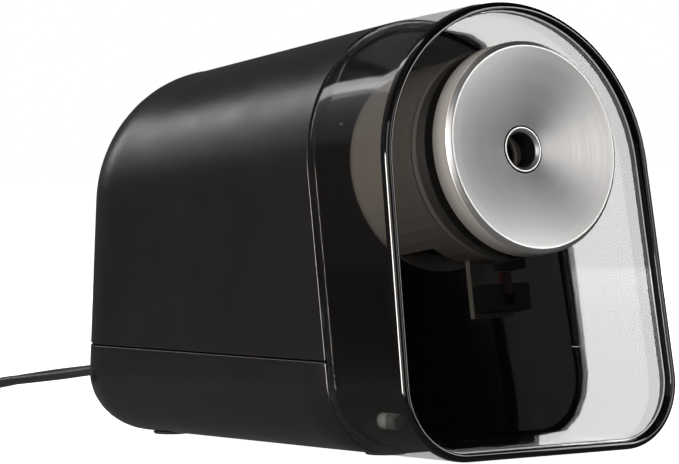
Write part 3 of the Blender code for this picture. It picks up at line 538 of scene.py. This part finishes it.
def make_bin():
    rows = []
    for i in range(LIP_STEPS + 1):  # the rounded front lip
        a = math.pi / 2 * i / LIP_STEPS
        rows.append(full_ring(LIP_R * (1 - math.cos(a)), FACE_LEAN, 0, LIP_R * (1 - math.sin(a))))
    last = SEAM_Y - GAP

    def wall_row(part, inset, y=None):
        y = LIP_R + (last - LIP_R) * part if y is None else y
        return full_ring(y, FACE_LEAN + (SEAM_LEAN - FACE_LEAN) * part, SEAM_SHARE * part, inset)

    rows += [full_ring(y, FACE_LEAN, 0, 0.0) for y in (LIP_DEPTH, LIP_DEPTH + 0.1)]
    rows += [wall_row(part, 0.0) for part in (0.2, 0.4, 0.6, 0.8, 0.96)]
    for i in range(1, SEAM_EASE_STEPS + 1):  # eased edge at the seam
        a = math.pi / 2 * i / SEAM_EASE_STEPS
        rows.append(wall_row(1.0, SEAM_EASE * (1 - math.cos(a)), last - SEAM_EASE * (1 - math.sin(a))))
    rows.append(wall_row(1.0, BIN_WALL - 0.2, last))
    rows.append(wall_row(1.0, BIN_WALL, last - 0.2))
    rows += [wall_row(part, BIN_WALL) for part in (0.9, 0.6, 0.3, 0.12)]
    rows += [full_ring(y, FACE_LEAN, 0, BIN_WALL) for y in (LIP_DEPTH + 0.1, LIP_DEPTH)]
    rows.append(full_ring(0.35, FACE_LEAN, 0, BIN_WALL))
    rows.append(full_ring(0.1, FACE_LEAN, 0, BIN_WALL - 0.12))
    rows.append(full_ring(0.0, FACE_LEAN, 0, BIN_WALL - 0.35))
    mesh = solid_mesh("bin_window", rows, looped=True)
    window = show("bin_window", mesh, SMOKE, "bin", ("bin_shell",), angle=60)
    window.data.materials.append(LIP)  # the thick front lip shows black
    to_face = along(0).translation * MM
    inwards = MECHANISM.to_3x3() @ Vector((0, 0, 1))
    for face in mesh.polygons:
        if (face.center - to_face).dot(inwards) < LIP_DEPTH * MM:
            face.material_index = 1
    tab = box_mesh("bin_tab", (9, 4, 8.6), (PLUNGER_X, SEAM_Y - 6, FOOT_STAND + 5.9))
    bevelled(show("bin_tab", tab, SMOKE, "bin", ()), 0.5)


def make_plate():
    rows = [full_ring(y, FACE_LEAN, 0, BIN_WALL + GAP) for y in (PLATE_FRONT, PLATE_BACK)]
    plate = show("mirror_plate", solid_mesh("mirror_plate", rows), PLATE, "bin", ("face_plate",))
    cut(plate, round_bar("plate_hole", 7.6, -5, 20, 64), along(0))
    applied(plate)
    bevelled(plate, 0.25, 3, 60)


def make_bulkhead():
    rows = [full_ring(SEAM_Y + y, SEAM_LEAN, SEAM_SHARE, WALL + 2 * GAP) for y in (0.8, 3.2)]
    wall = show("mouth_wall", solid_mesh("mouth_wall", rows), GLOSS, "chassis", ("bulkhead",))
    cut(wall, round_bar("drum_hole", SHROUD_R + GAP, 0, 70, 96), along(0))
    for i, (x, drop) in enumerate(SHROUD_SCREWS):
        cut(wall, round_bar(f"screw_hole_{i}", 1.3, 20, 60, 20), along(0, x, drop))
    plunger = place(PLUNGER_X, 0, FOOT_STAND + 8) @ Matrix.Rotation(-math.pi / 2, 4, "X")
    cut(wall, round_bar("plunger_way", 2.3, 0, 60, 24), plunger)
    applied(wall)
    bevelled(wall, 0.3, 2, 60)


def make_knob():
    back, sheet = PLATE_FRONT - 1.5, 0.9
    face_r = KNOB_R - 1.1
    guide_r = PENCIL_R + 1.6
    bottom = KNOB_FRONT + DISH_DEPTH
    cover = [
        (KNOB_R, back, 0.2), (KNOB_R, KNOB_FRONT + 1.1, 0.25), (face_r, KNOB_FRONT, 0.3),
        (face_r - 0.7, KNOB_FRONT + 0.15, 0.3), (guide_r, bottom, 0.15), (guide_r, bottom + sheet, 0),
        (face_r - 0.9, KNOB_FRONT + 0.15 + sheet * 1.4, 0), (KNOB_R - sheet, KNOB_FRONT + 2.2, 0),
        (KNOB_R - sheet, back, 0.1),
    ]
    mesh = turned_mesh("knob_dish", softened(cover), 192)
    dish = show("knob_dish", mesh, ALUMINIUM, "bin", ("knob_cover",), along(0), 25)
    dish.data.materials.append(RIM)  # the turned side
    for face in mesh.polygons:
        if face.center.xy.length > (KNOB_R - 0.1) * MM:
            face.material_index = 1
    front, rear = KNOB_FRONT + DISH_DEPTH + 2.2, PLATE_FRONT - GAP
    core = [(7.0, front), (KNOB_R - 1.6, front), (KNOB_R - 1.6, rear), (7.0, rear)]
    show("knob_hub", turned_mesh("knob_hub", core, 128), BLACK, "bin", ("knob_core",), along(0))
    mouth, end = bottom - 0.1, PLATE_BACK + 0.9
    outer = PENCIL_R + 1.6 - GAP
    guide = [
        (outer, end, 0.1), (outer, mouth, 0.12), (PENCIL_R + 0.9, mouth, 0.12), (PENCIL_R, mouth + 0.9, 0.25),
        (PENCIL_R, end, 0.2),
    ]
    mesh = turned_mesh("guide_bush", softened(guide), 96)
    guide = show("guide_bush", mesh, ALUMINIUM, "bin", ("pencil_guide",), along(0), 25)
    guide.data.materials.append(BLACK)  # the bore is painted black: painted shade inside the deep hole
    for face in mesh.polygons:
        if face.center.xy.length < (PENCIL_R + 0.15) * MM:
            face.material_index = 1


def make_feet():
    for i, (x, y) in enumerate(FEET):
        top = FOOT_STAND - 0.3
        profile = softened([(0, top), (FOOT_R, top, 0.15), (FOOT_R - 0.3, 0.0, 0.25), (0, 0.0)])
        mesh = turned_mesh(f"pad_{i + 1}", profile, 64)
        show(f"pad_{i + 1}", mesh, RUBBER, "chassis", (f"foot_{i + 1}",), place(x, y))


def make_screw(name, node, placement, head, shank):
    """A pan-head screw with a cross recess. head is (outer z, inner z, radius), shank is (end z, radius)."""
    out, under, r = head
    end, thin = shank
    thick = abs(under - out)
    sign = 1 if under > out else -1
    profile = [
        (0, out), (r * 0.6, out, 0.4), (r, out + sign * thick * 0.45, 0.5), (r, under, 0.1), (thin, under, 0),
        (thin, end - sign * 0.8, 0), (thin * 0.4, end, 0), (0, end),
    ]
    screw = show(name, turned_mesh(name, softened(profile), 40), ZINC, "chassis", (node,), placement)
    deep = thick * 0.7
    for i, size in enumerate(((r * 1.15, r * 0.26), (r * 0.26, r * 1.15))):
        arm = box_mesh(f"{name}_arm_{i}", (*size, deep * 2), (0, 0, out))
        cut(screw, arm, placement)
    applied(screw)


def make_screws():
    for i, (x, y) in enumerate(TRAY_SCREWS):
        z = FOOT_STAND + 0.7
        make_screw(f"base_screw_{i + 1}", f"tray_screw_{i + 1}", place(x, y), (z, z + 1.6, 2.9), (z + 11, 1.4))
    for i, (x, drop) in enumerate(SHROUD_SCREWS):
        at = along(0, x, drop)
        make_screw(f"drum_screw_{i + 1}", f"shroud_screw_{i + 1}", at, (42.4, 40.7, 2.9), (35.2, 1.1))


# --- cord, strain relief and plug ---

CORD_WIDTH, LOBE_R = 5.4, 1.35
ROUTE = [
    (0, 184.0, 15.25), (0, 190.4, 14.6), (0, 197, 13.9), (0, 203.8, 13.2), (0, 212, 12.3), (0, 220.5, 11.4),
    (0, 229, 10.5), (0, 237, 9.6), (0, 246, 8.6), (0, 254, 7.5), (0, 261, 6.3), (0, 268, 5.05), (0, 275, 4.0),
    (0, 282, 3.15),
]
COIL_X, COIL_Y, COIL_OUT, COIL_IN = -39.1, 290.0, 39.1, 27.1
INNER_TURNS, ALL_TURNS = 4.0, 8.0
LOW_Z, HIGH_Z = CORD_WIDTH / 2, CORD_WIDTH * 1.5
RISE_TURNS = 0.4
TAIL_LENGTH, TAIL_STEPS, TAIL_TWIST_STEPS = 37.0, 8, 6
# The flex hangs out of true in degrees, and turns on edge for the coil, both by the distance along the desk
SWAY, SWAY_FROM, SWAY_LENGTH = 14, 190, 19
TWIST_FROM, TWIST_OVER = 250, 40


def coil_point(turn):
    """A point of the coil: in on the desk, then out on top of those turns."""
    if turn < INNER_TURNS:
        r = COIL_OUT + (COIL_IN - COIL_OUT) * turn / INNER_TURNS
    else:
        r = COIL_IN + (COIL_OUT - COIL_IN) * (turn - INNER_TURNS) / (ALL_TURNS - INNER_TURNS)
    t = min(max((turn - INNER_TURNS + RISE_TURNS / 2) / RISE_TURNS, 0), 1)
    z = LOW_Z + (HIGH_Z - LOW_Z) * t * t * (3 - 2 * t)
    return Vector((COIL_X + r * math.cos(TAU * turn), COIL_Y + r * math.sin(TAU * turn), z))


def smooth_line(points, steps):
    """Catmull-Rom through the points."""
    out = []
    padded = [points[0] * 2 - points[1], *points, points[-1] * 2 - points[-2]]
    for a, b, c, d in zip(padded, padded[1:], padded[2:], padded[3:]):
        for k in range(steps):
            t = k / steps
            out.append(
                0.5 * (2 * b + (c - a) * t + (2 * a - 5 * b + 4 * c - d) * t**2 + (3 * b - a - 3 * c + d) * t**3)
            )
    return out + [points[-1]]


def cord_line(per_turn, route_steps):
    """The cord's centreline, and at each point how far its width has turned from lying flat."""
    head = smooth_line([Vector(p) for p in ROUTE] + [coil_point(0)], route_steps)[:-1]
    count = round(ALL_TURNS * per_turn)
    coil = [coil_point(ALL_TURNS * i / count) for i in range(count + 1)]
    end = coil[-1]
    tail = [end + Vector((0, TAIL_LENGTH * i / TAIL_STEPS, 0)) for i in range(1, TAIL_STEPS + 1)]
    line = head + coil + tail
    turn = []
    for p in head:
        part = min(max((p.y - TWIST_FROM) / TWIST_OVER, 0), 1)
        sway = SWAY * math.sin((p.y - SWAY_FROM) / SWAY_LENGTH)
        turn.append(math.radians(90 * part * part * (3 - 2 * part) + sway * (1 - part)))
    turn += [math.pi / 2] * len(coil)
    turn += [math.pi / 2 * (1 - min(1, i / TAIL_TWIST_STEPS)) for i in range(1, TAIL_STEPS + 1)]
    return line, turn


def twin_section():
    points = []
    for side in (1, -1):
        for i in range(13):
            a = math.radians(-142 + 284 * i / 12)
            points.append((side * (LOBE_R + LOBE_R * math.cos(a)), side * LOBE_R * math.sin(a)))
    return points


def make_cord():
    line, turn = cord_line(40, 4)
    section = twin_section()
    rows = []
    for i, p in enumerate(line):
        ahead = (line[min(i + 1, len(line) - 1)] - line[max(i - 1, 0)]).normalized()
        level = ahead.cross(Vector((0, 0, 1))).normalized()
        over = level.cross(ahead)
        wide = level * math.cos(turn[i]) + over * math.sin(turn[i])
        thick = over * math.cos(turn[i]) - level * math.sin(turn[i])
        rows.append([p + wide * u + thick * v for u, v in section])
    mesh = solid_mesh("twin_flex", rows)
    cord = show("twin_flex", mesh, VINYL, "chassis", ("power_cord", "cord_coil", "cord_tail"), angle=70)
    path = cord_line(20, 1)[0]
    return cord, [tuple(row(p)) for p in path]


def make_strain_relief():
    wall_s, tip_s = 165.0, 192.9
    profile = [
        (6.6, wall_s - 6.8, 0.4), (6.6, wall_s - 5.4, 0.3), (4.9, wall_s - 5.4, 0), (4.9, wall_s + 4.4, 0),
        (6.5, wall_s + 4.8, 0.5), (6.3, wall_s + 6.6, 0.5), (4.6, wall_s + 7.3, 0.3),
    ]
    for i in range(4):  # ribs that shrink towards the tip
        s = wall_s + 8.3 + i * 4.7
        r = 5.5 - 0.42 * i
        profile += [(r - 0.9, s, 0.2), (r, s + 0.6, 0.4), (r - 0.12, s + 2.9, 0.4), (r - 1.0, s + 3.5, 0.2)]
    profile += [(3.75, tip_s - 0.6, 0.5), (3.5, tip_s, 0.3), (3.0, tip_s, 0.1), (3.0, wall_s - 6.8, 0.1)]
    mesh = turned_mesh("cord_boot", softened(profile, 4), 64)
    return show("cord_boot", mesh, RUBBER, "chassis", ("strain_relief",), CORD_EXIT)


PLUG_START, PLUG_SIDES = 33.5 + GAP, 64
# Along the plug: distance, half width, half height
PLUG_RINGS = [
    (0.0, 3.1, 2.7), (0.5, 3.6, 3.2), (2.6, 3.9, 3.5), (2.9, 3.5, 3.1), (3.9, 3.6, 3.2), (4.2, 4.3, 3.8),
    (6.3, 4.8, 4.3), (6.6, 4.4, 3.9), (7.4, 4.6, 4.1), (7.8, 5.6, 4.8), (9.5, 7.6, 5.7), (11.5, 9.9, 6.7),
    (13.5, 11.2, 7.35), (15.0, 11.45, 7.6), (16.2, 11.5, 7.7), (16.7, 11.3, 7.35), (17.3, 11.3, 7.3),
    (17.8, 11.5, 7.7), (19.0, 11.5, 7.7), (19.5, 11.3, 7.35), (20.1, 11.3, 7.3), (20.6, 11.5, 7.7),
    (21.8, 11.5, 7.7), (22.3, 11.3, 7.35), (22.9, 11.3, 7.3), (23.4, 11.5, 7.7), (26.6, 11.5, 7.7),
    (27.5, 11.2, 7.4), (27.95, 10.6, 6.8), (28.0, 10.2, 6.4),
]


def make_plug():
    origin = coil_point(ALL_TURNS)
    at = Matrix.Translation(origin) @ Matrix.Rotation(math.pi / 2, 4, "Z")
    rows = []
    for x, half_w, half_h in PLUG_RINGS:
        power = 2.0 if x < 7.5 else min(3.6, 2.0 + (x - 7.5) * 0.35)
        ring = []
        for k in range(PLUG_SIDES):
            a = TAU * k / PLUG_SIDES
            c, s = math.cos(a), math.sin(a)
            ring.append((
                PLUG_START + x,
                half_w * math.copysign(abs(c) ** (2 / power), c),
                half_h * math.copysign(abs(s) ** (2 / power), s),
            ))
        rows.append(ring)
    mesh = solid_mesh("plug_shell", rows)
    return show("plug_shell", mesh, BLACK, "chassis", ("plug_body",), at, 50)


# --- stage and light, in metres ---

# Light behind the object, as a share of the brightest, by how far left its direction points. It comes up with
# the direction's height, and with how far back it points, from a low level in front.
PANEL_PEAK, AMBIENT, FRONT_LEVEL = 5.3, 0.018, 0.1
PANEL_HEIGHT, PANEL_BACK = (0.12, 0.26), (-0.1, 0.35)
PANEL = (
    (0.082, 0.03), (0.1, 1.0), (0.175, 1.0), (0.188, 0.2), (0.25, 0.13), (0.34, 0.08), (0.46, 0.04),
)
# The floor's own light in reflections, near the object and far from it, and as the camera sees it
FLOOR_GLOW, FLOOR_FAR, FLOOR_SEEN = 0.08, 0.03, 1.0
FLOOR_NEAR_R, FLOOR_FAR_R = 0.2, 0.45
FLOOR_HALF, FLOOR_Z = 8.0, -0.0002
PAPER_DIM, PAPER_SEEN = (0.1, 0.1, 0.1), (0.85, 0.85, 0.85)
# The card that the face plate mirrors, drawn in its own plane a metre in front
CARD_GLOW, CARD_TINT = 10.4, (1, 0.995, 0.985)
CARD_CENTRE = Vector((0.6464, -0.8229, 0.2390))
CARD_RIGHT, CARD_UP = Vector((0.76274, 0.64670, 0.0)), Vector((-0.12124, 0.14299, 0.98227))
CARD_OUTLINE = (
    (-0.036, 0.118), (-0.024, 0.113), (-0.018, 0.107), (0.006, -0.006), (0.003, -0.046),
    (0.001, -0.070), (-0.002, -0.081), (-0.008, -0.091), (-0.016, -0.097), (-0.030, -0.097), (-0.039, -0.15),
    (0.14, -0.15), (0.14, 0.3), (-0.045, 0.3),
)


def emitter(name, corners, strength, colour):
    """A lit card seen only in reflections and by its light."""
    shape = bmesh.new()
    shape.faces.new([shape.verts.new(c) for c in corners])
    mesh = bpy.data.meshes.new(name)
    shape.to_mesh(mesh)
    shape.free()
    card = bpy.data.objects.new(name, mesh)
    bpy.context.scene.collection.objects.link(card)
    glow = bpy.data.materials.new(name)
    glow.use_nodes = True
    tree = glow.node_tree
    tree.nodes.clear()
    emit = tree.nodes.new("ShaderNodeEmission")
    emit.inputs["Color"].default_value = (*colour, 1)
    emit.inputs["Strength"].default_value = strength
    tree.links.new(emit.outputs[0], tree.nodes.new("ShaderNodeOutputMaterial").inputs["Surface"])
    mesh.materials.append(glow)
    card.visible_camera = False
    card.visible_shadow = False


def area(name, position, target, size, power, colour=(1, 1, 1)):
    light = bpy.data.lights.new(name, "AREA")
    light.shape = "RECTANGLE"
    light.size, light.size_y = size
    light.energy = power
    light.color = colour
    obj = bpy.data.objects.new(name, light)
    obj.location = position
    obj.rotation_euler = (Vector(target) - Vector(position)).to_track_quat("-Z", "Y").to_euler()
    obj.visible_camera = False
    bpy.context.scene.collection.objects.link(obj)


def make_floor():
    shape = bmesh.new()
    corners = [(x * FLOOR_HALF, y * FLOOR_HALF, FLOOR_Z) for x, y in ((-1, -1), (1, -1), (1, 1), (-1, 1))]
    shape.faces.new([shape.verts.new(c) for c in corners])
    mesh = bpy.data.meshes.new("floor")
    shape.to_mesh(mesh)
    shape.free()
    floor = bpy.data.objects.new("floor", mesh)
    bpy.context.scene.collection.objects.link(floor)
    paper = Finish("paper", PAPER_SEEN, 0.9)
    paper.shader.inputs["Specular IOR Level"].default_value = 0.0
    paper.shader.inputs["Emission Color"].default_value = (1, 1, 1, 1)
    seen = paper.node("ShaderNodeLightPath").outputs["Is Camera Ray"]
    glow = paper.span(paper.radius(), FLOOR_GLOW, FLOOR_FAR, FLOOR_NEAR_R, FLOOR_FAR_R)
    paper.tint(seen, PAPER_DIM, PAPER_SEEN, 0, 1)
    paper.tree.links.new(paper.span(seen, glow, FLOOR_SEEN, 0, 1), paper.shader.inputs["Emission Strength"])
    paper.material.cycles.emission_sampling = "NONE"
    mesh.materials.append(paper.material)


def make_world():
    """White to the camera; everything else sees a dim room with a lit panel behind and to the left."""
    world = bpy.data.worlds.new("studio")
    world.use_nodes = True
    bpy.context.scene.world = world
    nodes, links = world.node_tree.nodes, world.node_tree.links
    backdrop = nodes["Background"]
    backdrop.inputs["Color"].default_value = (1, 1, 1, 1)
    backdrop.inputs["Strength"].default_value = 1.0
    dome = nodes.new("ShaderNodeBackground")
    way = nodes.new("ShaderNodeSeparateXYZ")
    links.new(nodes.new("ShaderNodeTexCoord").outputs["Generated"], way.inputs[0])

    def combined(operation, *inputs):
        made = nodes.new("ShaderNodeMath")
        made.operation = operation
        for key, value in enumerate(inputs):
            if isinstance(value, bpy.types.NodeSocket):
                links.new(value, made.inputs[key])
            else:
                made.inputs[key].default_value = value
        return made.outputs[0]

    def rise(value, start, end, low=0.0):
        """Smooth step from low to 1 between two values."""
        made = nodes.new("ShaderNodeMapRange")
        made.interpolation_type = "SMOOTHSTEP"
        for key, limit in (("From Min", start), ("From Max", end), ("To Min", low), ("To Max", 1.0)):
            made.inputs[key].default_value = limit
        links.new(value, made.inputs["Value"])
        return made.outputs["Result"]

    panel = nodes.new("ShaderNodeValToRGB")
    ramp = panel.color_ramp.elements
    ramp[0].color = ramp[1].color = (AMBIENT, AMBIENT, AMBIENT, 1)
    for position, level in PANEL:
        ramp.new(position).color = (level, level, level, 1)
    links.new(combined("MULTIPLY", way.outputs["X"], -1.0), panel.inputs["Fac"])
    lit = combined("MULTIPLY", panel.outputs["Color"], rise(way.outputs["Z"], *PANEL_HEIGHT))
    lit = combined("MAXIMUM", lit, AMBIENT)
    behind = combined("MULTIPLY", lit, rise(way.outputs["Y"], *PANEL_BACK, FRONT_LEVEL))
    links.new(combined("MULTIPLY", behind, PANEL_PEAK), dome.inputs["Strength"])
    pick = nodes.new("ShaderNodeMixShader")
    links.new(nodes.new("ShaderNodeLightPath").outputs["Is Camera Ray"], pick.inputs["Fac"])
    links.new(dome.outputs[0], pick.inputs[1])
    links.new(backdrop.outputs[0], pick.inputs[2])
    links.new(pick.outputs[0], nodes["World Output"].inputs["Surface"])


def make_lights():
    card = [CARD_CENTRE + CARD_RIGHT * x + CARD_UP * u for x, u in CARD_OUTLINE]
    emitter("mirror_card", card, CARD_GLOW, CARD_TINT)
    area("bevel_left", (-0.75, -0.55, 0.34), (0, -0.07, 0.073), (0.45, 0.6), 2.0)
    area("key_left", (-0.9, -0.08, 0.16), (0, -0.06, 0.07), (0.3, 0.3), 11.5, (1.0, 0.95, 0.89))
    area("right_soft", (0.95, 0.65, 0.4), (0, 0.03, 0.05), (0.7, 0.6), 7.0)
    area("front_fill", (0.2, -1.2, 0.36), (0, -0.07, 0.07), (0.35, 0.5), 1.4, (1.0, 0.98, 0.96))


dress_cad()
cord, cord_path = make_cord()
boot = make_strain_relief()
plug = make_plug()
make_housing()
make_tray()
make_bin()
make_plate()
make_bulkhead()
make_knob()
make_feet()
make_screws()
make_floor()
make_world()
make_lights()

bpy.context.scene.view_settings.view_transform = "Standard"
